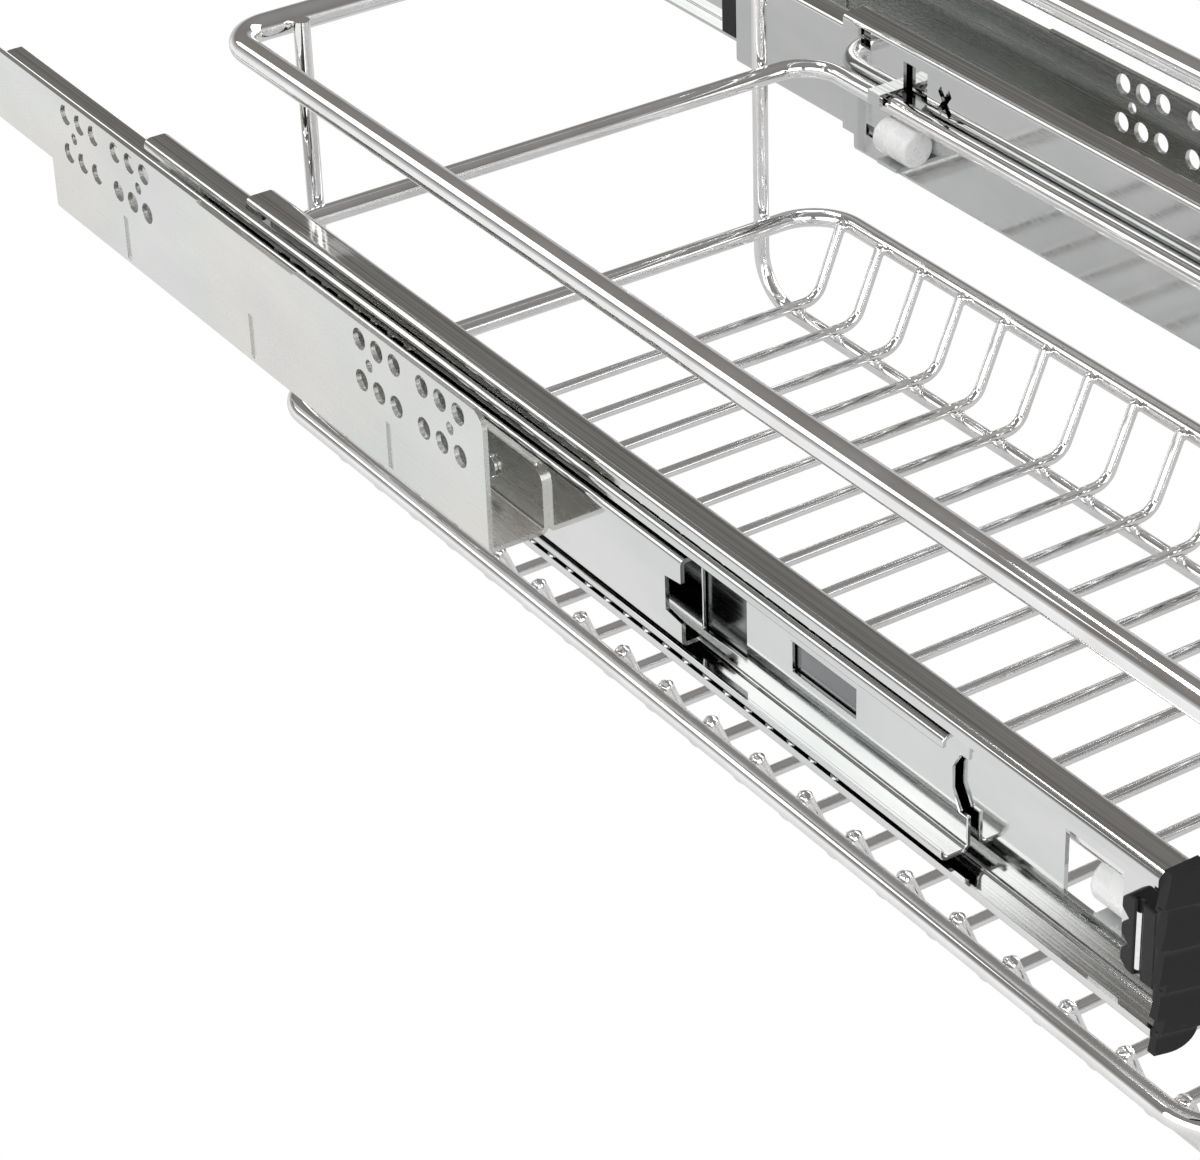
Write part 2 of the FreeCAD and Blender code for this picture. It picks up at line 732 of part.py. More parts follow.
def ball_cage(cage_label, ball_label, side, rear, length, web, mouth, centre, row):
    """A folded strip with a row of holes above and one below, and the balls that it spaces out."""
    body = body_of(cage_label)
    half = "cage_sheet / 2"
    points = section(side, [
        (mouth, above(row, half)),
        (web + " + cage_sheet", above(row, half)),
        (web + " + cage_sheet", below(row, half)),
        (mouth, below(row, half)),
        (mouth, below(row, "-" + half)),
        (web, below(row, "-" + half)),
        (web, above(row, "-" + half)),
        (mouth, above(row, "-" + half)),
    ])
    pad_forward(body, points, rear, length)
    count = int((cell(length) - cell("ball_pitch")) / cell("ball_pitch")) + 1
    margin = "(%s - ball_pitch * %d) / 2" % (length, count - 1)
    spots = [at_y("%s + %s + ball_pitch * %d" % (rear, margin, k)) for k in range(count)]

    def holes(sketch):
        for spot in spots:
            add_circle(sketch, at_x(side, centre), spot, "ball + cage_hole_play")

    cut_through(body, "XY_Plane", holes)
    balls = []
    for spot in spots:
        for height in (above(row), below(row)):
            sphere = doc.addObject("Part::Sphere", "Ball")
            sphere.setExpression("Radius", link("ball / 2"))
            place(sphere, at_x(side, centre), spot, height)
            balls.append(sphere)
    group = doc.addObject("Part::Compound", "Balls")
    group.Links = balls
    keep(group, ball_label)
    return body


def cross_opening(sketch, centre):
    """An X-shaped opening, a little taller than it is long."""
    arm = cell("cross_opening")
    half = arm * 0.26
    outline = []
    for forward, up in ((0, 1), (1, 0), (0, -1), (-1, 0)):
        for across in (-1, 1):
            outline.append((forward * arm + across * up * half, up * arm - across * forward * half))
        outline.append(((forward + up) * half, (up - forward) * half))
    points = []
    for forward, up in outline:
        along, rise = (forward - up) * 0.707, (forward + up) * 1.02
        points.append((at_y("%s + (%.4f)" % (centre, along)),
                       "slide_middle + cross_opening_rise + (%.4f)" % rise))
    add_outline(sketch, points)


def drawer_profile(label, side):
    """The largest member, with the openings and bent tabs that hold the basket's middle frame."""
    body = lipped_channel(label, side, "profile_mouth", "profile_depth", PROFILE_HALF, "profile_lip",
                          "profile_back", PROFILE_LENGTH)
    tab_under = "middle_height + frame_wire / 2 + seat_play"
    seat_top = "%s - bush_size / 2" % BUSH_HEIGHT

    def openings(sketch):
        name, centre = SEATS[0]
        rear = "(%s + rear_slot_forward - rear_slot_length / 2)" % centre
        add_box(sketch, rear, rear + " + rear_slot_length", "rear_slot_bottom", "rear_slot_top")
        name, centre = SEATS[1]
        half = "front_window_length / 2"
        add_box(sketch, "%s - %s" % (centre, half), "%s + %s" % (centre, half), seat_top, tab_under)
        for spot, length, low, high in (
            ("square_opening_place", "square_opening_length",
             "slide_middle + square_opening_rise - square_opening_height / 2",
             "slide_middle + square_opening_rise + square_opening_height / 2"),
            ("low_opening_place", "low_opening_size",
             "slide_middle - low_opening_drop - low_opening_size / 2",
             "slide_middle - low_opening_drop + low_opening_size / 2"),
        ):
            centre = "profile_back + " + spot
            add_box(sketch, "%s - %s / 2" % (centre, length), "%s + %s / 2" % (centre, length), low, high)
        cross_opening(sketch, "profile_back + cross_opening_place")
        add_box(sketch, "profile_back - 1", "profile_back + profile_corner_notch",
                below(PROFILE_HALF, "1"), below(PROFILE_HALF, "-profile_corner_notch"))

    cut_through(body, "YZ_Plane", openings)
    inner = "profile_depth + frame_gap + frame_wire + 2 * seat_play"
    tab_top = tab_under + " + sheet"
    hook = section(side, [
        ("profile_depth - sheet / 2", tab_top),
        (inner + " + sheet", tab_top),
        (inner + " + sheet", "middle_height"),
        (inner, "middle_height"),
        (inner, tab_under),
        ("profile_depth - sheet / 2", tab_under),
    ])
    seat = section(side, [
        ("profile_depth - sheet / 2", seat_top),
        ("profile_depth + bush_size", seat_top),
        ("profile_depth + bush_size", seat_top + " - sheet"),
        ("profile_depth - sheet / 2", seat_top + " - sheet"),
    ])
    for name, centre in SEATS:
        hook_centre = centre + " - hook_back" if name == "rear" else centre
        pad_forward(body, hook, hook_centre + " - hook_width / 2", "hook_width")
        pad_forward(body, seat, centre + " + bush_forward - seat_width / 2", "seat_width")
    return body


def frame_bush(label, side, centre):
    """The translucent bush between the middle frame's wire and the lower tab."""
    body = body_of(label)
    ring = new_sketch(body, "XZ_Plane", "-(%s)" % at_y("%s + bush_forward - bush_length / 2" % centre))
    add_circle(ring, at_x(side, BUSH_DEPTH), BUSH_HEIGHT, "bush_size")
    pad = pad_of(body, ring, "bush_length")
    rims = []
    for number, edge in enumerate(pad.Shape.Edges, start=1):
        if edge.Closed and len(edge.Vertexes) == 1:
            rims.append("Edge%d" % number)
    round_edges(body, pad, rims, "bush_round")
    return body


PLUG_FACE = "(profile_mouth + sheet + plug_play)"
PIN_DEPTH = "(%s + pin_sunk)" % PLUG_FACE


def end_cap(label, side):
    """The ribbed cap on the front end of the drawer profile, with a plug inside the channel."""
    body = body_of(label)
    top = above(PROFILE_HALF, "cap_overhang")
    bottom = below(PROFILE_HALF, "cap_overhang + cap_drop")
    count = int(cell("cap_rib_count"))
    outline = [("profile_depth + cap_overhang", bottom), ("profile_depth + cap_overhang", top)]
    for k in range(count):
        high = "%s - (%s - (%s)) * %d / %d" % (top, top, bottom, k, count)
        low = "%s - (%s - (%s)) * %d / %d" % (top, top, bottom, k + 1, count)
        outline.append(("profile_mouth - cap_overhang + cap_rib_depth", high))
        outline.append(("profile_mouth - cap_overhang", low))
    sketch, base = pad_forward(body, section(side, outline), PROFILE_FRONT, "cap_length")
    corner = (value(at_y("%s + cap_length" % PROFILE_FRONT)), value(bottom))
    round_edges(body, base, straight_edges(base, (1, 2), [corner]), "cap_round")
    near = PLUG_FACE
    plug = section(side, [
        (near, below("plug_half")),
        (near, above("plug_half")),
        (PROFILE_WEB, above("plug_half")),
        (PROFILE_WEB, below("plug_half")),
    ])
    pad_forward(body, plug, "%s - plug_length" % PROFILE_FRONT, "plug_length + 1")
    return body


def front_buffer(label, side):
    """The wavy buffer behind the cap's plug: it meets the intermediate member when the drawer closes."""
    body = body_of(label)
    offset = at_x(side, PLUG_FACE + " + buffer_thickness" if side == 1 else PLUG_FACE)
    front = "%s - plug_length" % PROFILE_FRONT
    rear = "%s - buffer_length" % front
    lobe = "(buffer_half * 2 / 3)"
    points = [(at_y(front), above("buffer_half")), (at_y(front), below("buffer_half"))]
    for k in range(3):
        low = "slide_middle - buffer_half + %d * %s" % (k, lobe)
        points.append((at_y(rear + " + buffer_wave"), low))
        points.append((at_y(rear), low + " + %s * 0.3" % lobe))
        points.append((at_y(rear), low + " + %s * 0.7" % lobe))
    points.append((at_y(rear + " + buffer_wave"), above("buffer_half")))
    profile = new_sketch(body, "YZ_Plane", offset)
    add_outline(profile, points)
    pad_of(body, profile, "buffer_thickness")

    middle = front + " - buffer_length / 2"
    bore_size = "(pin_size + 2 * pin_bore_play)"

    def bore(sketch):
        add_circle(sketch, at_x(side, PIN_DEPTH), at_y(middle), bore_size)

    def slot(sketch):
        edges = [at_x(side, PLUG_FACE + " - 1"), at_x(side, PIN_DEPTH)]
        ends = [at_y("%s - %s / 2" % (middle, bore_size)), at_y("%s + %s / 2" % (middle, bore_size))]
        corners = [(edges[0], ends[0]), (edges[1], ends[0]), (edges[1], ends[1]), (edges[0], ends[1])]
        add_outline(sketch, corners)

    cut_through(body, "XY_Plane", bore)
    cut_through(body, "XY_Plane", slot)
    return body


def buffer_pin(label, side):
    """The upright steel pin through the buffer."""
    pin = rod("Pin", "pin_size", "2 * (buffer_half - pin_inset)")
    spot = at_y("%s - plug_length - buffer_length / 2" % PROFILE_FRONT)
    place(pin, at_x(side, PIN_DEPTH), spot, below("buffer_half", "-pin_inset"))
    return keep(pin, label)


for name, side in (("left", -1), ("right", 1)):
    cabinet_bracket(name + "_bracket", side)
    cabinet_rail(name + "_cabinet_rail", side)
    rail_rivets(name + "_rail_rivets", side)
    intermediate(name + "_intermediate", side)
    rear_stop(name + "_rear_stop", side)
    ball_cage(name + "_rail_retainer", name + "_rail_balls", side, "rail_cage_back", "rail_cage_length",
              "rail_cage_depth", "middle_mouth + sheet + cage_mouth_play",
              "middle_mouth + sheet + rail_ball_inset + ball / 2", RAIL_ROW)
    ball_cage(name + "_drawer_retainer", name + "_drawer_balls", side,
              "drawer_cage_back", "drawer_cage_length",
              "drawer_cage_depth", "profile_mouth + sheet + cage_mouth_play",
              "profile_mouth + sheet + drawer_ball_inset + ball / 2", DRAWER_ROW)
    drawer_profile(name + "_drawer_profile", side)
    for seat_name, centre in SEATS:
        frame_bush("%s_%s_bush" % (name, seat_name), side, centre)
    end_cap(name + "_end_cap", side)
    front_buffer(name + "_front_buffer", side)
    buffer_pin(name + "_buffer_pin", side)

doc.recompute()
for thing in doc.Objects:
    if "Invalid" in thing.State or "Error" in thing.State:
        raise RuntimeError("%s (%s) failed: %s" % (thing.Name, thing.Label, thing.State))
for piece in pieces:
    if piece.Shape.isNull() or not piece.Shape.isValid():
        raise RuntimeError(piece.Label + " has no valid shape")

os.makedirs("parts", exist_ok=True)
for piece in pieces:
    piece.Shape.exportStep("parts/%s.step" % piece.Label)
    box = piece.Shape.BoundBox
    print("%-24s solids %2d volume %9.1f x %7.1f %7.1f y %7.1f %7.1f z %6.1f %6.1f" % (
        piece.Label, len(piece.Shape.Solids), piece.Shape.Volume,
        box.XMin, box.XMax, box.YMin, box.YMax, box.ZMin, box.ZMax))
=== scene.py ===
# %% [markdown]
# # A wire basket that pulls out on ball-bearing slides
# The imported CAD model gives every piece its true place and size. This lesson adds what CAD leaves out: drawn
# wire with weld beads, zinc-plated steel, moulded plastic, and a soft studio. Lengths are in metres.

# %% Load the CAD frame
import json
import math
import bmesh
import bpy
from mathutils import Matrix, Vector


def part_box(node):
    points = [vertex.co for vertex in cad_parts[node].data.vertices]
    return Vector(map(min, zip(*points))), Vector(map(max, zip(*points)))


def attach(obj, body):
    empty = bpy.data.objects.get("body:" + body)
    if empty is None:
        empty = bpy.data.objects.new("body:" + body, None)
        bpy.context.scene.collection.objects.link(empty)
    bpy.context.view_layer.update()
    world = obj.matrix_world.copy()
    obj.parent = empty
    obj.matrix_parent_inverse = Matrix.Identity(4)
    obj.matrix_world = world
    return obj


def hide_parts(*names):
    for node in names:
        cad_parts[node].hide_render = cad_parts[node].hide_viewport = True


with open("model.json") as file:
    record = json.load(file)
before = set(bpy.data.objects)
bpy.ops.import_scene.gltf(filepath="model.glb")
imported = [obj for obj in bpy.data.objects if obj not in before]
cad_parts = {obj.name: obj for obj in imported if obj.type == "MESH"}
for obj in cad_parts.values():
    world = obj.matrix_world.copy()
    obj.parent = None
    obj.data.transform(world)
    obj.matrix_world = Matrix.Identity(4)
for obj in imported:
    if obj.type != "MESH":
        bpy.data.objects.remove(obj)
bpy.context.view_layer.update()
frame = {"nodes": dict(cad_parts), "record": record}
nodes = frame["nodes"]
slot_of = {part["node"]: part["material_slot"] for part in frame["record"]["subparts"]}
body_of = {piece: body for body, held in frame["record"]["behaviour"]["bodies"].items() for piece in held}

# %% [markdown]
# ## Helpers for node trees
# Materials and Geometry Nodes are both trees of nodes joined by links. A few short helpers keep the recipes
# below readable: one adds a node with its settings, one draws a link, and the rest add the nodes that nearly
# every finish uses. Noise in object coordinates stays on its piece when the drawer moves.


# %% Nodes and links
def node(tree, kind, values=None, **settings):
    """Add a node, set its properties and the default values of its sockets."""
    made = tree.nodes.new(kind)
    for key, setting in settings.items():
        setattr(made, key, setting)
    for socket, value in (values or {}).items():
        made.inputs[socket].default_value = value
    return made


def wire(tree, start, out, end, into):
    tree.links.new(start.outputs[out], end.inputs[into])


print("Helpers:", node.__name__, wire.__name__)


# %% Parts of a finish
def start_material(name, **values):
    """A Principled material with constant values, and its object coordinates."""
    made = bpy.data.materials.new(name)
    made.use_nodes = True
    tree = made.node_tree
    surface = tree.nodes["Principled BSDF"]
    for socket, value in values.items():
        surface.inputs[socket.replace("_", " ")].default_value = value
    place = node(tree, "ShaderNodeTexCoord")
    return made, tree, surface, place


def noise(tree, place, scale, detail=3.0, stretch=(1.0, 1.0, 1.0)):
    """Noise in object coordinates. A small number in stretch draws the pattern out along that axis."""
    mapping = node(tree, "ShaderNodeMapping", {"Scale": stretch})
    wire(tree, place, "Object", mapping, "Vector")
    made = node(tree, "ShaderNodeTexNoise", {"Scale": scale, "Detail": detail, "Roughness": 0.55})
    wire(tree, mapping, "Vector", made, "Vector")
    return made


def ramp(tree, source, out, stops):
    """A colour ramp fed by a value: stops are pairs of position and colour."""
    made = node(tree, "ShaderNodeValToRGB")
    wire(tree, source, out, made, "Fac")
    points = made.color_ramp.elements
    while len(points) < len(stops):
        points.new(0.5)
    for point, (position, colour) in zip(points, stops):
        point.position = position
        point.color = (*colour, 1.0)
    return made


def spread(tree, source, out, low, high, start=0.3, end=0.7):
    """Map a value to a range of numbers. Most noise lies between 0.3 and 0.7."""
    limits = {"From Min": start, "From Max": end, "To Min": low, "To Max": high}
    made = node(tree, "ShaderNodeMapRange", limits)
    wire(tree, source, out, made, "Value")
    return made


def bump(tree, source, surface, strength, distance, before=None):
    """Relief from noise, laid over an earlier bump if there is one."""
    made = node(tree, "ShaderNodeBump", {"Strength": strength, "Distance": distance})
    wire(tree, source, "Fac", made, "Height")
    if before:
        wire(tree, before, "Normal", made, "Normal")
    wire(tree, made, "Normal", surface, "Normal")
    return made


finishes = {}
print("Finishes so far:", len(finishes))

# %% [markdown]
# ## Chrome wire
# The basket is drawn wire with bright chrome on it. A mirror alone looks like plastic film, so the colour and
# the roughness drift a little along the wire, and a faint ripple breaks up the reflections as plating does.


# %% Chrome wire
def chrome_wire():
    made, tree, surface, place = start_material("bright_wire", Metallic=1.0)
    wide = noise(tree, place, 55.0, 2.0)
    ripple = noise(tree, place, 900.0, 2.0)
    tone = ramp(tree, wide, "Fac", [(0.3, (0.80, 0.79, 0.78)), (0.7, (0.91, 0.91, 0.92))])
    wire(tree, tone, "Color", surface, "Base Color")
    haze = spread(tree, wide, "Fac", 0.03, 0.08)
    wire(tree, haze, "Result", surface, "Roughness")
    bump(tree, ripple, surface, 0.01, 0.00005)
    return made


finishes["bright_wire"] = chrome_wire()
print("Made:", finishes["bright_wire"].name)

# %% [markdown]
# ## Zinc-plated steel
# The slides are rolled from strip and plated with zinc. Soft clouds give the plate its uneven tone, and noise
# drawn out 250 times along the slide gives the fine lines that the rolls leave. Their darkening in the colour
# is painted shade: a face's direction and its height fade it in on the slides' upper top faces only. The
# bracket is duller, and a faint film of colour lies on it instead of the lines. The ball cages are the
# darkest.


# %% Zinc-plated steel
mix_factor, mix_a, mix_b, mixed_colour = 0, 6, 7, 2
rolled_along = (1.0, 0.004, 1.0)
# The rolling lines are real, but their darker stops are painted shade, drawn only on the slides' upper top
# faces.
rolling_lines_and_painted_shade = [(0.36, (0.62, 0.61, 0.60)), (0.50, (0.90, 0.89, 0.88)), (0.62, (1.0, 1.0, 1.0))]
# Height above which the painted shade of the lines is drawn.
painted_shade_above = 0.080


def painted_shade_on_top_faces(tree, place, mix):
    """Painted shade: fade the lines' darkening in on faces that look up and lie above the slide's middle."""
    facing = node(tree, "ShaderNodeNewGeometry")
    normal = node(tree, "ShaderNodeSeparateXYZ")
    wire(tree, facing, "Normal", normal, "Vector")
    level = spread(tree, normal, "Z", 0.0, 1.0, 0.7, 0.95)
    height = node(tree, "ShaderNodeSeparateXYZ")
    wire(tree, place, "Object", height, "Vector")
    upper = spread(tree, height, "Z", 0.0, 1.0, painted_shade_above, painted_shade_above + 0.005)
    both = node(tree, "ShaderNodeMath", operation="MULTIPLY")
    wire(tree, level, "Result", both, 0)
    wire(tree, upper, "Result", both, 1)
    wire(tree, both, "Value", mix, mix_factor)


def plated(name, dark, light, rough_low, rough_high, streak, film=None):
    """Zinc plate: cloudy tone, fine grain, and either a film of colour or rolling lines darkened as painted
    shade on top faces.
    """
    made, tree, surface, place = start_material(name, Metallic=1.0)
    clouds = noise(tree, place, 26.0, 4.0, (1.0, 0.5, 1.0))
    streaks = noise(tree, place, 1500.0, 4.0, rolled_along)
    grain = noise(tree, place, 2400.0, 2.0)
    tone = ramp(tree, clouds, "Fac", [(0.3, dark), (0.7, light)])
    mix = node(tree, "ShaderNodeMix", data_type="RGBA", blend_type="MULTIPLY")
    wire(tree, tone, "Color", mix, mix_a)
    if film:
        mix.inputs[mix_factor].default_value = 0.55
        patches = noise(tree, place, 15.0, 2.0, (1.0, 0.6, 1.0))
        second = ramp(tree, patches, "Fac", film)
    else:
        second = ramp(tree, streaks, "Fac", rolling_lines_and_painted_shade)
        # Painted shade: the darker lines are faded in on upper top faces only.
        painted_shade_on_top_faces(tree, place, mix)
    wire(tree, second, "Color", mix, mix_b)
    wire(tree, mix, mixed_colour, surface, "Base Color")
    shine = spread(tree, streaks, "Fac", rough_low, rough_high)
    wire(tree, shine, "Result", surface, "Roughness")
    first = bump(tree, streaks, surface, streak, 0.0001)
    bump(tree, grain, surface, 0.02, 0.00005, first)
    return made


colour_film = [
    (0.30, (0.96, 0.93, 0.97)),
    (0.45, (0.93, 0.97, 0.96)),
    (0.58, (1.0, 0.97, 0.92)),
    (0.70, (0.97, 0.93, 0.94)),
]
finishes["zinc_steel"] = plated("zinc_steel", (0.62, 0.635, 0.63), (0.73, 0.735, 0.73), 0.04, 0.12, 0.02)
finishes["bracket_steel"] = plated(
    "bracket_steel", (0.65, 0.65, 0.645), (0.74, 0.74, 0.73), 0.20, 0.30, 0.0, colour_film)
finishes["cage_steel"] = plated("cage_steel", (0.20, 0.205, 0.21), (0.30, 0.305, 0.31), 0.10, 0.22, 0.05)
print("Finishes so far:", ", ".join(finishes))

# %% [markdown]
# ## Ball steel
# Bearing balls and the buffer's pin are ground and polished. One noise is enough: it moves the tone and the
# roughness together, as a trace of grease does.


# %% Ball steel
def ball_steel():
    made, tree, surface, place = start_material("ball_steel", Metallic=1.0)
    haze = noise(tree, place, 700.0, 2.0)
    tone = ramp(tree, haze, "Fac", [(0.3, (0.80, 0.80, 0.81)), (0.7, (0.90, 0.90, 0.90))])
    wire(tree, tone, "Color", surface, "Base Color")
    shine = spread(tree, haze, "Fac", 0.05, 0.12)
    wire(tree, shine, "Result", surface, "Roughness")
    return made


finishes["ball_steel"] = ball_steel()
print("Made:", finishes["ball_steel"].name)

# %% [markdown]
# ## Plastics
# The caps, buffers and stops are black plastic out of a spark-eroded mould: a fine grain, and a few specks of
# dust. The bushes under the middle wire are milky. Light enters them and comes out nearby, which Subsurface
# does, and a little Transmission lets the edges glow.


# %% Black plastic
def black_plastic():
    made, tree, surface, place = start_material("black_plastic", Specular_IOR_Level=0.25)
    grain = noise(tree, place, 2200.0, 3.0)
    dust = noise(tree, place, 900.0, 1.0)
    tone = ramp(tree, dust, "Fac", [(0.70, (0.008, 0.008, 0.009)), (0.90, (0.05, 0.05, 0.05))])
    wire(tree, tone, "Color", surface, "Base Color")
    shine = spread(tree, grain, "Fac", 0.34, 0.50)
    wire(tree, shine, "Result", surface, "Roughness")
    bump(tree, grain, surface, 0.2, 0.0001)
    return made


finishes["black_plastic"] = black_plastic()
print("Made:", finishes["black_plastic"].name)


# %% White plastic
def white_plastic():
    made, tree, surface, place = start_material(
        "white_plastic", Subsurface_Weight=0.5, Subsurface_Radius=(1.0, 1.0, 1.0), Subsurface_Scale=0.003,
        IOR=1.47, Transmission_Weight=0.25)
    clouds = noise(tree, place, 160.0, 3.0)
    tone = ramp(tree, clouds, "Fac", [(0.3, (0.86, 0.88, 0.88)), (0.7, (0.97, 0.98, 0.97))])
    wire(tree, tone, "Color", surface, "Base Color")
    shine = spread(tree, clouds, "Fac", 0.20, 0.34)
    wire(tree, shine, "Result", surface, "Roughness")
    bump(tree, clouds, surface, 0.1, 0.0002)
    return made


finishes["white_plastic"] = white_plastic()
print("Finishes:", ", ".join(finishes))

# %% [markdown]
# ## Helpers for Geometry Nodes
# A Geometry Nodes tree can be built in a script like a material. Each tree here has named inputs for its
# sizes and ends in the same way: its copies become real geometry, shading is smooth, and the finish is set.
# The result is then kept as a plain mesh, because an exported model holds no live modifiers.


# %% Start and end of a tree
def start_tree(name, inputs):
    """A Geometry Nodes tree with a geometry input and output and named settings."""
    tree = bpy.data.node_groups.new(name, "GeometryNodeTree")
    tree.interface.new_socket("Geometry", in_out="INPUT", socket_type="NodeSocketGeometry")
    for label, kind, value in inputs:
        socket = tree.interface.new_socket(label, in_out="INPUT", socket_type=kind)
        if value is not None:
            socket.default_value = value
    tree.interface.new_socket("Geometry", in_out="OUTPUT", socket_type="NodeSocketGeometry")
    return tree, node(tree, "NodeGroupInput"), node(tree, "NodeGroupOutput")


def end_tree(tree, start, end, last, out):
    """Close a tree: realize instances, smooth shading, material."""
    real = node(tree, "GeometryNodeRealizeInstances")
    smooth = node(tree, "GeometryNodeSetShadeSmooth")
    paint = node(tree, "GeometryNodeSetMaterial")
    wire(tree, last, out, real, "Geometry")
    wire(tree, real, "Geometry", smooth, "Geometry")
    wire(tree, smooth, "Geometry", paint, "Geometry")
    wire(tree, start, "Material", paint, "Material")
    wire(tree, paint, "Geometry", end, "Geometry")


print("Helpers:", start_tree.__name__, end_tree.__name__)


# %% Run a tree and keep the result
def add_object(name, shape):
    made = bpy.data.objects.new(name, shape)
    bpy.context.scene.collection.objects.link(made)
    return made


def add_tree(maker, tree, settings):
    """Give an object a tree. A setting is stored under its socket's identifier, not its name."""
    modifier = maker.modifiers.new(tree.name, "NODES")
    modifier.node_group = tree
    for socket in tree.interface.items_tree:
        if socket.in_out == "INPUT" and socket.name in settings:
            modifier[socket.identifier] = settings[socket.name]


def settle(name, maker):
    """Turn an object with live modifiers into a plain object, and remove the maker."""
    maker.update_tag()
    shape = bpy.data.meshes.new_from_object(maker.evaluated_get(bpy.context.evaluated_depsgraph_get()))
    seed = maker.data
    bpy.data.objects.remove(maker)
    bpy.data.meshes.remove(seed)
    shape.name = name
    return add_object(name, shape)


print("Helpers:", add_object.__name__, add_tree.__name__, settle.__name__)

# %% [markdown]
# ## Soft bends
# A CAD mesh is a heap of separate triangles, each with its own normals. Before anything can be rounded, the
# triangles are joined along their edges. The tree then drops the old normals and keeps an edge sharp only if
# it turns more than 35 degrees, so a rolled bend shades as one curve.


# %% The tree that softens bends
sharpest_bend = math.radians(35)


def soft_bend_tree():
    tree, start, end = start_tree("Soft bends", [
        ("Join within", "NodeSocketFloat", 0.00001),
        ("Sharpest bend", "NodeSocketFloat", sharpest_bend),
        ("Material", "NodeSocketMaterial", None),
    ])
    joined = node(tree, "GeometryNodeMergeByDistance")
    corner = node(tree, "GeometryNodeInputMeshEdgeAngle")
    sharp = node(tree, "FunctionNodeCompare", data_type="FLOAT", operation="GREATER_THAN")
    shade = node(tree, "GeometryNodeSetMeshNormal", {"Remove Custom": True, "Face Sharpness": False})
    wire(tree, start, "Geometry", joined, "Geometry")
    wire(tree, start, "Join within", joined, "Distance")
    wire(tree, joined, "Geometry", shade, "Mesh")
    wire(tree, corner, "Unsigned Angle", sharp, "A")
    wire(tree, start, "Sharpest bend", sharp, "B")
    wire(tree, sharp, "Result", shade, "Edge Sharpness")
    end_tree(tree, start, end, shade, "Mesh")
    return tree


soft_bends = soft_bend_tree()
print("Tree:", soft_bends.name, "with", len(soft_bends.nodes), "nodes")

# %% [markdown]
# ## Rounded edges
# Sheet steel and moulded plastic have no razor edges. A copy of each pressed or moulded piece is joined into
# a closed shell, its flat faces are made whole again, and a narrow bevel rounds the cut edges, so that each
# catches a line of light. Weighted normals keep the flat faces flat beside the bevel. The copy is seen in
# place of the CAD piece, which stays for collisions. Cutters, where they are given, take their shapes away
# before the bevel, and the tree then runs once more over the cuts.


# %% Round a piece
edge_round = {"bracket": 0.00025, "cabinet_rail": 0.0002, "intermediate": 0.00025, "drawer_profile": 0.00025,
              "end_cap": 0.0005, "front_buffer": 0.0008, "rear_stop": 0.0003, "rail_retainer": 0.0001,
              "drawer_retainer": 0.0001, "rail_rivets": 0.0002}
flat_within = math.radians(0.5)


def rounded(name, width, cutters=()):
    """A copy of a CAD piece with rounded cut edges, riding where the piece rides."""
    maker = add_object(name + "_maker", nodes[name].data.copy())
    finish = {"Material": finishes[slot_of[name]]}
    add_tree(maker, soft_bends, finish)
    whole = maker.modifiers.new("Whole faces", "DECIMATE")
    whole.decimate_type = "DISSOLVE"
    whole.angle_limit = flat_within
    for cutter in cutters:
        cut = maker.modifiers.new("Cut", "BOOLEAN")
        cut.operation = "DIFFERENCE"
        cut.solver = "EXACT"
        cut.object = cutter
    if cutters:
        add_tree(maker, soft_bends, finish)
    bevel = maker.modifiers.new("Cut edges", "BEVEL")
    bevel.width = width
    bevel.segments = 2
    bevel.limit_method = "ANGLE"
    bevel.angle_limit = sharpest_bend
    flats = maker.modifiers.new("Flat faces", "WEIGHTED_NORMAL")
    flats.weight = 100
    flats.keep_sharp = True
    made = settle(name + "_rounded", maker)
    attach(made, body_of[name])
    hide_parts(name)
    return made


print("Kinds of piece to round:", len(edge_round))

# %% [markdown]
# ## The end caps
# Each drawer profile ends in a black cap: a thin plate whose front swells into five ribs, one below the
# other, like shingles. The plate slants forward towards the basket, and its lower inner corner is round. The
# CAD cap is a longer block, so two cutters carve the plate out of it: one follows the ribs, and one has the
# round corner. Both are prisms, and a prism is its outline twice with walls between.


# %% Prisms that cut
def add_prism(shape, outline, start, end, place):
    """Add a closed prism. A point of it is place(across, up, along), where along runs from start to end."""
    first = [shape.verts.new(place(across, up, start)) for across, up in outline]
    last = [shape.verts.new(place(across, up, end)) for across, up in outline]
    for k in range(len(outline)):
        after = (k + 1) % len(outline)
        shape.faces.new((first[k], first[after], last[after], last[k]))
    shape.faces.new(reversed(first))
    shape.faces.new(last)


def cutter_object(name, prisms):
    """An object of closed prisms whose faces point outwards."""
    shape = bmesh.new()
    for prism in prisms:
        add_prism(shape, *prism)
    bmesh.ops.recalc_face_normals(shape, faces=shape.faces)
    block = bpy.data.meshes.new(name)
    shape.to_mesh(block)
    shape.free()
    return add_object(name, block)


print("Helpers:", add_prism.__name__, cutter_object.__name__)

# %% The ribs' outline
cap_low, cap_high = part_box("left_end_cap")
profile_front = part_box("left_drawer_profile")[0].y
plate_thickness = 0.0005
lowest_rib, rib_pitch, rib_depth = 0.0480, 0.0113, 0.0021
rib_steps = 10
spare = 0.001


def space_before_ribs():
    """Outline (y, z) of the space in front of a cap: each rib swells downwards and ends in a step."""
    outline = []
    bottom = lowest_rib
    while bottom < cap_high.z:
        for k in range(rib_steps + 1):
            part = k / rib_steps
            swell = rib_depth * math.sqrt(1 - part * part)
            outline.append((profile_front - plate_thickness - swell, bottom + rib_pitch * part))
        bottom += rib_pitch
    far = cap_low.y - spare
    return [(far, outline[-1][1]), (far, outline[0][1])] + outline


ribs = space_before_ribs()
print("Points in the ribs' outline:", len(ribs))

# %% The round corner's outline
corner_radius = 0.008
corner_steps = 12


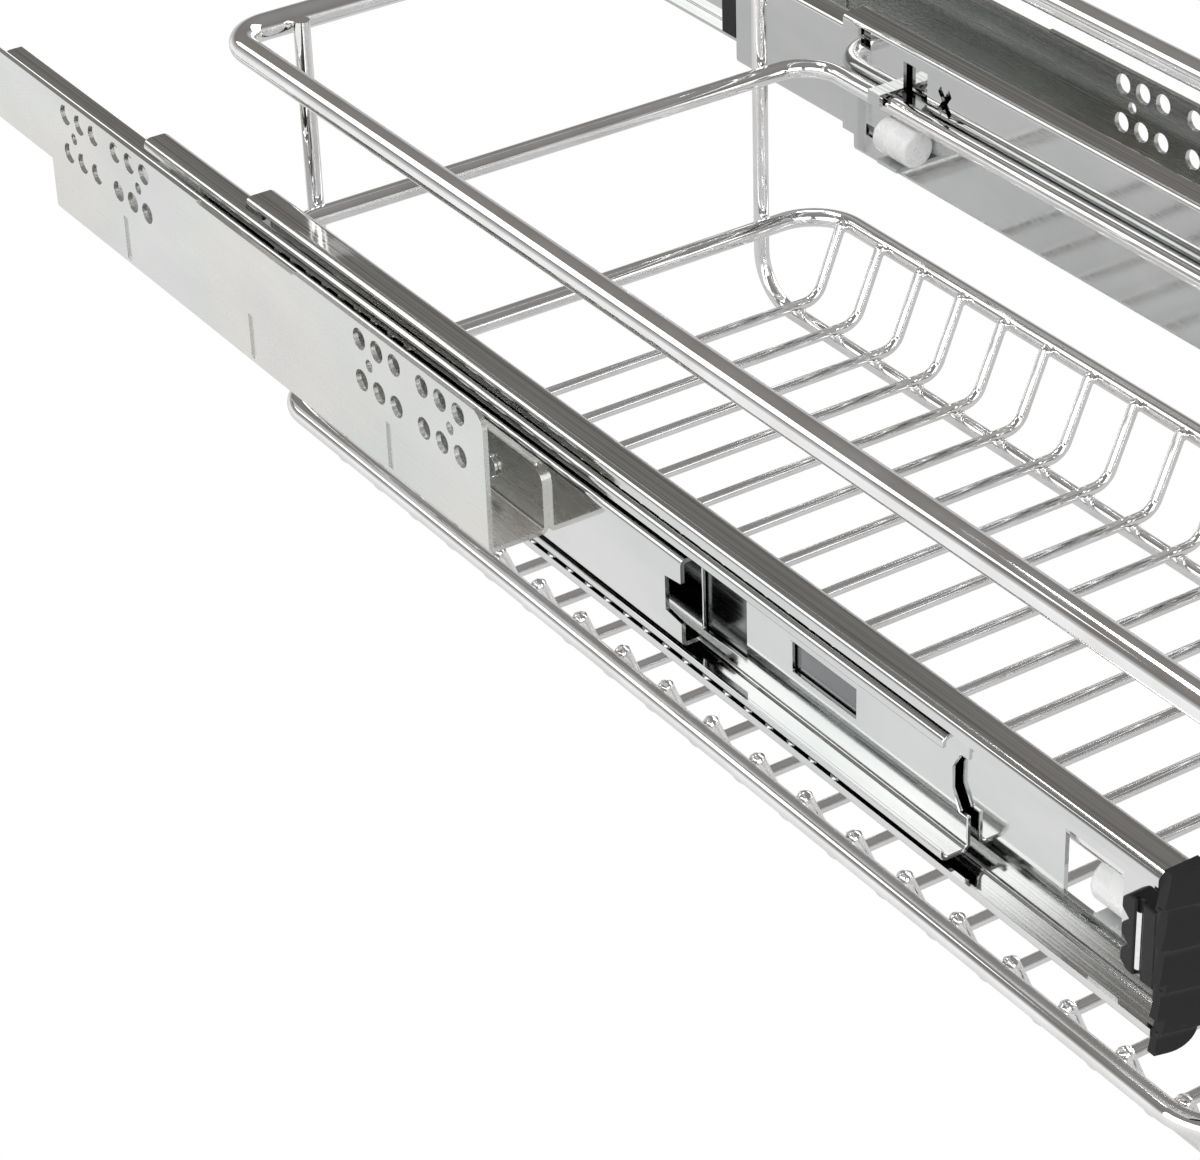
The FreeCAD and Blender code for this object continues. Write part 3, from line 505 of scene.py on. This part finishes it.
def space_below_corner():
    """Outline (x, z) of what lies outside the round lower inner corner of the left cap."""
    right, bottom = cap_high.x + spare, cap_low.z - spare
    outline = [(right, bottom), (right, cap_low.z + corner_radius)]
    for k in range(corner_steps + 1):
        turn = math.radians(-90 * k / corner_steps)
        outline.append((cap_high.x - corner_radius * (1 - math.cos(turn)),
                        cap_low.z + corner_radius * (1 + math.sin(turn))))
    return outline + [(cap_high.x - corner_radius, bottom)]


corner = space_below_corner()
print("Points in the corner's outline:", len(corner))

# %% The caps' cutters
plate_slant = 0.27


def front_place(side):
    """Across the cap: the outline moves forward as x runs towards the basket."""
    return lambda y, z, x: (side * x, y - plate_slant * (x - cap_low.x), z)


def corner_place(side):
    """Along the cap."""
    return lambda x, z, y: (side * x, y, z)


fronts = [(ribs, cap_low.x - spare, cap_high.x + spare, front_place(side)) for side in (1, -1)]
corners = [(corner, cap_low.y - spare, cap_high.y + spare, corner_place(side)) for side in (1, -1)]
cap_cutters = [cutter_object("cap_front_cutter", fronts), cutter_object("cap_corner_cutter", corners)]
print("Cutters:", [cutter.name for cutter in cap_cutters])

# %% [markdown]
# ## Dress the CAD pieces
# Every CAD piece gets its finish. Those that are pressed or moulded also get their rounded copy. The balls,
# bushes and pins stay as they are.

# %% Finish every CAD piece
rounded_pieces = []
for name, piece in nodes.items():
    piece.data.materials.clear()
    piece.data.materials.append(finishes[slot_of[name]])
    kind = name.split("_", 1)[1] if name.startswith(("left_", "right_")) else name
    if kind in edge_round:
        rounded_pieces.append(rounded(name, edge_round[kind], cap_cutters if kind == "end_cap" else ()))
for cutter in cap_cutters:
    bpy.data.objects.remove(cutter)
print("Rounded pieces:", len(rounded_pieces), "faces:", sum(len(p.data.polygons) for p in rounded_pieces))

# %% [markdown]
# ## One tree for every bent wire
# Wire is bent cold over a round tool, so its straight runs are joined by arcs. A path of straight lines goes
# into the tree. Fillet Curve bends its corners and Curve to Mesh gives it thickness. Instance on Points then
# repeats the wire in a row. The same tree makes the three frames, the runners and the cross wires, which a
# bevelled curve could also do, but a tree keeps the wire's sizes as named inputs.


# %% The bent wire tree
def bent_wire_tree():
    tree, start, end = start_tree("Bent wire", [
        ("Wire radius", "NodeSocketFloat", 0.003),
        ("Bend radius", "NodeSocketFloat", 0.014),
        ("Copies", "NodeSocketInt", 1),
        ("Step", "NodeSocketVector", (0.0, 0.0, 0.0)),
        ("Material", "NodeSocketMaterial", None),
    ])
    path = node(tree, "GeometryNodeMeshToCurve")
    bend = node(tree, "GeometryNodeFilletCurve", {"Count": 12}, mode="POLY")
    ring = node(tree, "GeometryNodeCurvePrimitiveCircle", {"Resolution": 28})
    skin = node(tree, "GeometryNodeCurveToMesh", {"Fill Caps": True})
    row = node(tree, "GeometryNodeMeshLine", mode="OFFSET")
    copies = node(tree, "GeometryNodeInstanceOnPoints")
    wire(tree, start, "Geometry", path, "Mesh")
    wire(tree, path, "Curve", bend, "Curve")
    wire(tree, start, "Bend radius", bend, "Radius")
    wire(tree, start, "Wire radius", ring, "Radius")
    wire(tree, bend, "Curve", skin, "Curve")
    wire(tree, ring, "Curve", skin, "Profile Curve")
    wire(tree, start, "Copies", row, "Count")
    wire(tree, start, "Step", row, "Offset")
    wire(tree, row, "Mesh", copies, "Points")
    wire(tree, skin, "Mesh", copies, "Instance")
    end_tree(tree, start, end, copies, "Instances")
    return tree


bent_wire = bent_wire_tree()
print("Tree:", bent_wire.name, "with", len(bent_wire.nodes), "nodes")


# %% Grow a piece of the basket
def grow(name, points, lines, tree, settings, stands_for=()):
    """Run a tree on a small path mesh and keep the result as a plain mesh that rides with the basket."""
    seed = bpy.data.meshes.new(name + "_path")
    seed.from_pydata([Vector(point) for point in points], lines, [])
    maker = add_object(name + "_maker", seed)
    add_tree(maker, tree, {**settings, "Material": finishes["bright_wire"]})
    made = settle(name, maker)
    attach(made, "basket")
    if stands_for:
        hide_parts(*stands_for)
    return made


print("Helper:", grow.__name__)

# %% [markdown]
# ## The basket's frames
# Three level frames hold the basket together: the thick top rim, the middle frame that sits in the slides'
# bushes, and the lower rim round the floor. Every place is read from the box of the CAD piece that the wire
# stands for, so the two can't drift apart. Only the wire's own radius and its bends are given here.

# %% Frames
rim_wire, frame_wire = 0.004, 0.003


def wire_frame(node_name, radius, bend):
    """A closed level frame through the middle of its CAD piece's box."""
    low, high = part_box(node_name)
    x, y = high.x - radius, (high.y - low.y) / 2 - radius
    middle, z = (high.y + low.y) / 2, (high.z + low.z) / 2
    corners = [(-x, middle - y, z), (x, middle - y, z), (x, middle + y, z), (-x, middle + y, z)]
    return grow(node_name + "_wire", corners, [(0, 1), (1, 2), (2, 3), (3, 0)], bent_wire,
                {"Wire radius": radius, "Bend radius": bend}, [node_name])


frames = [
    wire_frame("top_rim", rim_wire, 0.012),
    wire_frame("middle_frame", frame_wire, 0.014),
    wire_frame("lower_rim", frame_wire, 0.017),
]
print("Frames:", [made.name for made in frames])

# %% [markdown]
# ## The runners
# Two wires run under the floor from front to back. Each is bent up at both ends into a post that carries the
# three frames.

# %% Runners
runner_wire, runner_bend = 0.0025, 0.016


def runner(node_name):
    """A floor wire bent up into a post at each end."""
    low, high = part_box(node_name)
    x, z = (low.x + high.x) / 2, low.z + runner_wire
    front, rear = low.y + runner_wire, high.y - runner_wire
    corners = [(x, front, high.z), (x, front, z), (x, rear, z), (x, rear, high.z)]
    return grow(node_name + "_wire", corners, [(0, 1), (1, 2), (2, 3)], bent_wire,
                {"Wire radius": runner_wire, "Bend radius": runner_bend}, [node_name])


runners = [runner("left_runner"), runner("right_runner")]
print("Runners:", [made.name for made in runners])

# %% [markdown]
# ## The cross wires
# Twenty thin wires make the floor. Each lies flat in the middle and leans out to the lower rim at both ends.
# The bend is an arc that leaves the floor at a measured place, so the corner of the path, where the two
# straight lines meet, is worked out from that arc. One path and a row of copies make all twenty.

# %% Cross wires
cross_wire, cross_bend = 0.00175, 0.007
cross_count = 20
half_floor = 0.0827
tip_below_rim = 0.0015
low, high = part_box("cross_wires")
rim_low, rim_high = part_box("lower_rim")
floor_z = low.z + cross_wire
top_x = rim_high.x - 2 * frame_wire - cross_wire
top_z = (rim_low.z + rim_high.z) / 2 + frame_wire - tip_below_rim
reach, rise = top_x - half_floor, top_z - floor_z - cross_bend
lean = math.atan2(rise, reach) + math.asin(cross_bend / math.hypot(reach, rise))
knee_x = half_floor + cross_bend * math.tan(lean / 2)
first_y, last_y = high.y - cross_wire, low.y + cross_wire
pitch = (last_y - first_y) / (cross_count - 1)
path = [
    (-top_x, first_y, top_z),
    (-knee_x, first_y, floor_z),
    (knee_x, first_y, floor_z),
    (top_x, first_y, top_z),
]
sizes = {"Wire radius": cross_wire, "Bend radius": cross_bend,
         "Copies": cross_count, "Step": (0.0, pitch, 0.0)}
grow("cross_wires_row", path, [(0, 1), (1, 2), (2, 3)], bent_wire, sizes, ["cross_wires"])
print("Cross wires:", cross_count, "step", round(pitch, 5), "lean", round(math.degrees(lean), 1))

# %% [markdown]
# ## Weld beads
# Wires that touch are resistance-welded, which leaves a small uneven swelling. Shaping each by hand would
# take long and repeat itself. One tree puts a bead at each point it is given, and noise moves the bead's own
# points. Because the noise reads their place on the basket, no two beads are alike.


# %% The bead tree
def bead_tree():
    tree, start, end = start_tree("Weld beads", [
        ("Size", "NodeSocketVector", (0.002, 0.002, 0.002)),
        ("Unevenness", "NodeSocketFloat", 0.00025),
        ("Material", "NodeSocketMaterial", None),
    ])
    drop = node(tree, "GeometryNodeMeshUVSphere", {"Segments": 16, "Rings": 10, "Radius": 1.0})
    spots = node(tree, "GeometryNodeInstanceOnPoints")
    real = node(tree, "GeometryNodeRealizeInstances")
    place = node(tree, "GeometryNodeInputPosition")
    rough = node(tree, "ShaderNodeTexNoise", {"Scale": 700.0, "Detail": 1.0})
    centred = node(tree, "ShaderNodeVectorMath", {1: (0.5, 0.5, 0.5)}, operation="SUBTRACT")
    sized = node(tree, "ShaderNodeVectorMath", operation="SCALE")
    move = node(tree, "GeometryNodeSetPosition")
    wire(tree, start, "Geometry", spots, "Points")
    wire(tree, drop, "Mesh", spots, "Instance")
    wire(tree, start, "Size", spots, "Scale")
    wire(tree, spots, "Instances", real, "Geometry")
    wire(tree, place, "Position", rough, "Vector")
    wire(tree, rough, "Color", centred, 0)
    wire(tree, centred, "Vector", sized, 0)
    wire(tree, start, "Unevenness", sized, "Scale")
    wire(tree, real, "Geometry", move, "Geometry")
    wire(tree, sized, "Vector", move, "Offset")
    end_tree(tree, start, end, move, "Geometry")
    return tree


weld_bead = bead_tree()
print("Tree:", weld_bead.name, "with", len(weld_bead.nodes), "nodes")

# %% [markdown]
# ## Where the welds are
# The tips of the cross wires are welded to the inside of the lower rim, with a lump at each. The same wires
# are welded where they cross the runners, and the posts where they meet the frames: the top rim lies outside
# the posts, and the two other frames inside them.

# %% Weld spots
rows = [first_y + pitch * k for k in range(cross_count)]
bead_out, bead_down = 0.0004, 0.0006
rim_spots = [(side * (top_x + bead_out), y, top_z - bead_down) for side in (-1, 1) for y in rows]
runner_low, runner_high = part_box("right_runner")
runner_x = (runner_low.x + runner_high.x) / 2
floor_spots = [(side * runner_x, y, 2 * runner_wire) for side in (-1, 1) for y in rows]
post_spots = []
for name, inset in (("top_rim", 0.0), ("middle_frame", 2 * runner_wire), ("lower_rim", 2 * runner_wire)):
    low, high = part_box(name)
    z = (low.z + high.z) / 2
    ends = (runner_low.y + inset, runner_high.y - inset)
    post_spots += [(side * runner_x, y, z) for side in (-1, 1) for y in ends]
print("Spots on rim, floor and posts:", len(rim_spots), len(floor_spots), len(post_spots))

# %% Weld beads
grow("rim_welds", rim_spots, [], weld_bead, {"Size": (0.0021, 0.0022, 0.0021), "Unevenness": 0.0011})
grow("floor_welds", floor_spots, [], weld_bead, {"Size": (0.0022, 0.0020, 0.0009)})
grow("post_welds", post_spots, [], weld_bead, {"Size": (0.0019, 0.0012, 0.0019), "Unevenness": 0.0004})
print("Beads:", len(rim_spots) + len(floor_spots) + len(post_spots))

# %% [markdown]
# ## The camera
# The camera stands where the photographer's did. Its three directions and its place were found by matching
# measured points of the drawer to where they appear in the photo. A camera looks along its own -Z, so its
# matrix holds right, up and backwards as columns, with the place last.

# %% Camera
right = Vector((0.83412, -0.55066, -0.0319))
down = Vector((-0.31647, -0.4304, -0.84534))
forward = Vector((0.45177, 0.71521, -0.53327))
eye = Vector((-0.55537, -0.74902, 0.58826))
lens = bpy.data.cameras.new("Camera")
lens.lens = 114.32
lens.sensor_width = 36.0
lens.clip_start = 0.01
camera = add_object("Camera", lens)
camera.matrix_world = Matrix((
    (right.x, -down.x, -forward.x, eye.x),
    (right.y, -down.y, -forward.y, eye.y),
    (right.z, -down.z, -forward.z, eye.z),
    (0.0, 0.0, 0.0, 1.0),
))
bpy.context.scene.camera = camera
print("Camera at", [round(v, 3) for v in eye], "with a", lens.lens, "mm lens")

# %% [markdown]
# ## Soft lights
# Polished steel shows its surroundings, so the lights are large and soft, and the dark gaps between them draw
# the lines that make it look like metal. The left and front lights brighten the slides' upright faces, and
# the small rear light runs a bright line along their round edges.

# %% Lights
basket_middle = Vector((0.0, 0.0, 0.1))


def soft_box(name, place, size, power, colour=(1.0, 1.0, 1.0)):
    """A rectangular light that faces the basket."""
    data = bpy.data.lights.new(name, "AREA")
    data.shape = "RECTANGLE"
    data.size, data.size_y = size
    data.energy = power
    data.color = colour
    made = add_object(name, data)
    made.location = place
    made.rotation_euler = (basket_middle - Vector(place)).to_track_quat("-Z", "Y").to_euler()
    return made


lights = [
    soft_box("Left softbox", (-1.9, -0.5, 0.5), (2.4, 1.6), 34.0),
    soft_box("Front softbox", (-0.3, -2.2, 0.9), (1.8, 1.2), 22.0),
    soft_box("Right softbox", (2.0, 0.3, 0.9), (1.8, 1.4), 20.0, (1.0, 0.98, 0.96)),
    soft_box("Rear softbox", (-1.0, 1.5, 1.1), (1.1, 0.7), 4.4),
    soft_box("Top softbox", (-0.3, 0.9, 2.0), (0.9, 0.5), 16.0),
]
print("Lights:", [light.name for light in lights])

# %% [markdown]
# ## The room
# The camera sees pure white behind the drawer. The steel sees a grey room, light at the level of the floor
# and dark higher up, because chrome in an all-white room has no dark lines and looks like paper. Is Camera
# Ray tells the two apart.


# %% World
def room():
    made = bpy.data.worlds.new("Studio")
    made.use_nodes = True
    tree = made.node_tree
    tree.nodes.clear()
    seen = node(tree, "ShaderNodeLightPath")
    way = node(tree, "ShaderNodeTexCoord")
    height = node(tree, "ShaderNodeSeparateXYZ")
    wire(tree, way, "Generated", height, "Vector")
    greys = ramp(tree, height, "Z", [
        (0.0, (0.75, 0.75, 0.75)),
        (0.12, (0.55, 0.55, 0.56)),
        (0.30, (0.24, 0.23, 0.22)),
        (0.62, (0.28, 0.265, 0.25)),
        (0.86, (0.30, 0.30, 0.30)),
    ])
    grey = node(tree, "ShaderNodeBackground", {"Strength": 0.9})
    wire(tree, greys, "Color", grey, "Color")
    white = node(tree, "ShaderNodeBackground", {"Color": (1.0, 1.0, 1.0, 1.0), "Strength": 1.0})
    pick = node(tree, "ShaderNodeMixShader")
    out = node(tree, "ShaderNodeOutputWorld")
    wire(tree, seen, "Is Camera Ray", pick, 0)
    wire(tree, grey, "Background", pick, 1)
    wire(tree, white, "Background", pick, 2)
    wire(tree, pick, "Shader", out, "Surface")
    return made


bpy.context.scene.world = room()
print("World:", bpy.context.scene.world.name)

# %% [markdown]
# ## The floor
# The drawer stands on white paper. To the camera the paper is plain white, as in the photo. To the steel it
# is three quarters glow, full to the left of the basket and weaker under it, a painted shadow of the basket
# that gives the wires there a soft dark edge. In every other way it is a pale card that takes light and
# shadow.


# %% Floor
floor_half, floor_top = 6, -0.0005
glow_in_steel = 0.75


def paper():
    made = bpy.data.materials.new("Paper")
    made.use_nodes = True
    tree = made.node_tree
    tree.nodes.clear()
    seen = node(tree, "ShaderNodeLightPath")
    place = node(tree, "ShaderNodeTexCoord")
    side = node(tree, "ShaderNodeSeparateXYZ")
    wire(tree, place, "Object", side, "Vector")
    # Painted shadow: the glow that the steel sees drops from full to 0.62 under the basket.
    painted_shadow_under_basket = spread(tree, side, "X", 1.0, 0.62, -0.17, -0.05)
    level = node(tree, "ShaderNodeMix", {"A": 1.0})
    wire(tree, seen, "Is Glossy Ray", level, "Factor")
    wire(tree, painted_shadow_under_basket, "Result", level, "B")
    glow = node(tree, "ShaderNodeEmission", {"Color": (1.0, 1.0, 1.0, 1.0)})
    wire(tree, level, "Result", glow, "Strength")
    card = node(tree, "ShaderNodeBsdfDiffuse", {"Color": (0.86, 0.86, 0.86, 1.0)})
    faint = node(tree, "ShaderNodeMath", {1: glow_in_steel}, operation="MULTIPLY")
    either = node(tree, "ShaderNodeMath", operation="MAXIMUM")
    pick = node(tree, "ShaderNodeMixShader")
    out = node(tree, "ShaderNodeOutputMaterial")
    wire(tree, seen, "Is Glossy Ray", faint, 0)
    wire(tree, seen, "Is Camera Ray", either, 0)
    wire(tree, faint, "Value", either, 1)
    wire(tree, either, "Value", pick, 0)
    wire(tree, card, "BSDF", pick, 1)
    wire(tree, glow, "Emission", pick, 2)
    wire(tree, pick, "Shader", out, "Surface")
    return made


sheet = bpy.data.meshes.new("Floor")
sheet_corners = [(x * floor_half, y * floor_half, floor_top) for x, y in ((-1, -1), (1, -1), (1, 1), (-1, 1))]
sheet.from_pydata(sheet_corners, [], [(0, 1, 2, 3)])
sheet.materials.append(paper())
floor = add_object("Floor", sheet)
bpy.context.scene.view_settings.view_transform = "Standard"
print("Floor:", floor.name, "with", floor.active_material.name)
